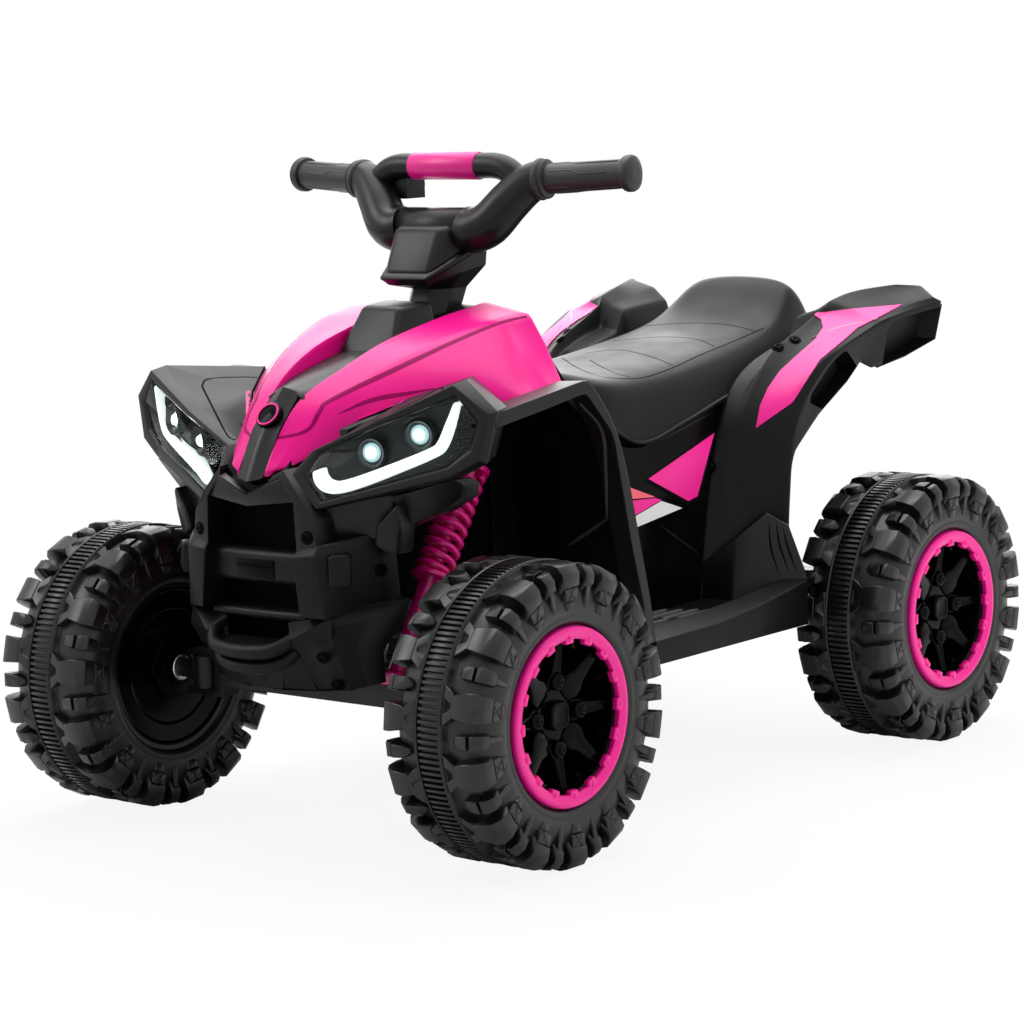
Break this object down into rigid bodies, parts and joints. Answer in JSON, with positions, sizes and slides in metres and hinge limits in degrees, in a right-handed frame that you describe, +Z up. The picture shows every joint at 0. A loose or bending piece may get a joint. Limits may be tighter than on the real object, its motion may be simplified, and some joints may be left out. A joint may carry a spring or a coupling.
{
  "type": "kids quad bike",
  "caption": "Battery ride-on quad bike for a child: plastic bodywork on a tub frame, knobbly wheels, handlebar steering, sprung front axle and headlamps.",
  "frame": {"origin": "on the ground, midway between the axles and between the wheels", "axes": "+Z up, +X to the rider's left, -Y to the front"},
  "size_m": [0.65, 0.9886, 0.6797],
  "materials": {
    "pink_plastic": "glossy moulded",
    "black_plastic": "satin moulded",
    "gloss_black": "glossy moulded",
    "seat_black": "satin moulded with seams",
    "tyre_black": "moulded tread",
    "grip_black": "moulded",
    "steel": "turned",
    "pink_metal": "gloss enamel",
    "clear_lens": "polished",
    "lamp_grey": "satin moulded",
    "lamp_white": "frosted",
    "battery_grey": "moulded",
    "control_green": "moulded"
  },
  "bodies": {
    "frame": {"chassis": "black_plastic", "foot_tray_left": "black_plastic", "foot_tray_right": "black_plastic", "front_fender_left": "black_plastic", "front_fender_right": "black_plastic", "side_panel_left": "gloss_black", "side_panel_right": "gloss_black", "rear_fender_left": "black_plastic", "rear_fender_right": "black_plastic", "rear_trims": "pink_plastic", "tail_cover": "black_plastic", "seat": "seat_black", "hood_left": "pink_plastic", "hood_right": "pink_plastic", "tank_cover": "black_plastic", "nose_strip": "black_plastic", "front_mask": "black_plastic", "headlight_buckets": "lamp_grey", "headlight_lenses": "clear_lens", "light_strips": "lamp_white", "led_projectors": "lamp_white", "grille_bars": "black_plastic", "front_bumper": "black_plastic", "body_screws": "steel", "battery": "battery_grey", "control_box": "control_green", "motors": "steel", "gearboxes": "black_plastic", "rear_axle": "steel", "column_bushes": "black_plastic", "charge_socket": "black_plastic", "shock_bodies": "pink_metal", "front_springs": "pink_metal"},
    "steering": {"steering_column": "steel", "handlebar": "black_plastic", "crossbar_sleeve": "pink_plastic", "grip_left": "grip_black", "grip_right": "grip_black", "throttle_housing": "black_plastic"},
    "throttle": {"throttle_button": "grip_black"},
    "power": {"power_switch": "gloss_black"},
    "direction": {"direction_switch": "gloss_black"},
    "front_axle": {"front_axle_beam": "steel", "shock_rods": "pink_metal"},
    "knuckle_left": {"knuckle_left": "steel"},
    "knuckle_right": {"knuckle_right": "steel"},
    "tie_rod": {"tie_rod": "steel"},
    "wheel_front_left": {"tyre_front_left": "tyre_black", "rim_front_left": "gloss_black", "bead_ring_front_left": "pink_plastic"},
    "wheel_front_right": {"tyre_front_right": "tyre_black", "rim_front_right": "gloss_black", "bead_ring_front_right": "pink_plastic"},
    "wheel_rear_left": {"tyre_rear_left": "tyre_black", "rim_rear_left": "gloss_black", "bead_ring_rear_left": "pink_plastic"},
    "wheel_rear_right": {"tyre_rear_right": "tyre_black", "rim_rear_right": "gloss_black", "bead_ring_rear_right": "pink_plastic"}
  },
  "joints": [
    {"name": "steer", "type": "hinge", "parent": "frame", "child": "steering", "pos_m": [0, -0.148, 0.527], "axis": [0, 0.4067, 0.9135], "range_deg": [-30, 30]},
    {"name": "throttle_press", "type": "slide", "parent": "steering", "child": "throttle", "axis": [0, -1, 0], "range_m": [0, 0.005], "stiffness_N_per_m": 300, "springref_m": -0.003},
    {"name": "suspension", "type": "slide", "parent": "frame", "child": "front_axle", "axis": [0, 0.527, 0.8499], "range_m": [0, 0.012], "stiffness_N_per_m": 5000, "springref_m": -0.03, "deforming": ["front_springs"]},
    {"name": "kingpin_left", "type": "hinge", "parent": "front_axle", "child": "knuckle_left", "pos_m": [0.165, -0.344, 0.15], "axis": [0, 0, 1], "range_deg": [-16, 16]},
    {"name": "kingpin_right", "type": "hinge", "parent": "front_axle", "child": "knuckle_right", "pos_m": [-0.165, -0.344, 0.15], "axis": [0, 0, 1], "range_deg": [-16, 16]},
    {"name": "tie_rod_slide", "type": "slide", "parent": "front_axle", "child": "tie_rod", "axis": [1, 0, 0], "range_m": [-0.026, 0.026]},
    {"name": "power_rock", "type": "hinge", "parent": "frame", "child": "power", "pos_m": [0.038, -0.08479, 0.48194], "axis": [1, 0, 0], "range_deg": [-10, 10]},
    {"name": "direction_rock", "type": "hinge", "parent": "frame", "child": "direction", "pos_m": [-0.038, -0.08479, 0.48194], "axis": [1, 0, 0], "range_deg": [-10, 10]},
    {"name": "wheel_spin_front_left", "type": "hinge", "parent": "knuckle_left", "child": "wheel_front_left", "pos_m": [0.264, -0.344, 0.15], "axis": [1, 0, 0], "continuous": true},
    {"name": "wheel_spin_front_right", "type": "hinge", "parent": "knuckle_right", "child": "wheel_front_right", "pos_m": [-0.264, -0.344, 0.15], "axis": [1, 0, 0], "continuous": true},
    {"name": "wheel_spin_rear_left", "type": "hinge", "parent": "frame", "child": "wheel_rear_left", "pos_m": [0.264, 0.344, 0.15], "axis": [1, 0, 0], "continuous": true},
    {"name": "wheel_spin_rear_right", "type": "hinge", "parent": "frame", "child": "wheel_rear_right", "pos_m": [-0.264, 0.344, 0.15], "axis": [1, 0, 0], "continuous": true}
  ],
  "couplings": [
    {"joint": "kingpin_left", "follows": "steer", "ratio": 0.5247},
    {"joint": "kingpin_right", "follows": "steer", "ratio": 0.5247},
    {"joint": "tie_rod_slide", "follows": "steer", "m_per_rad": -0.0487}
  ]
}
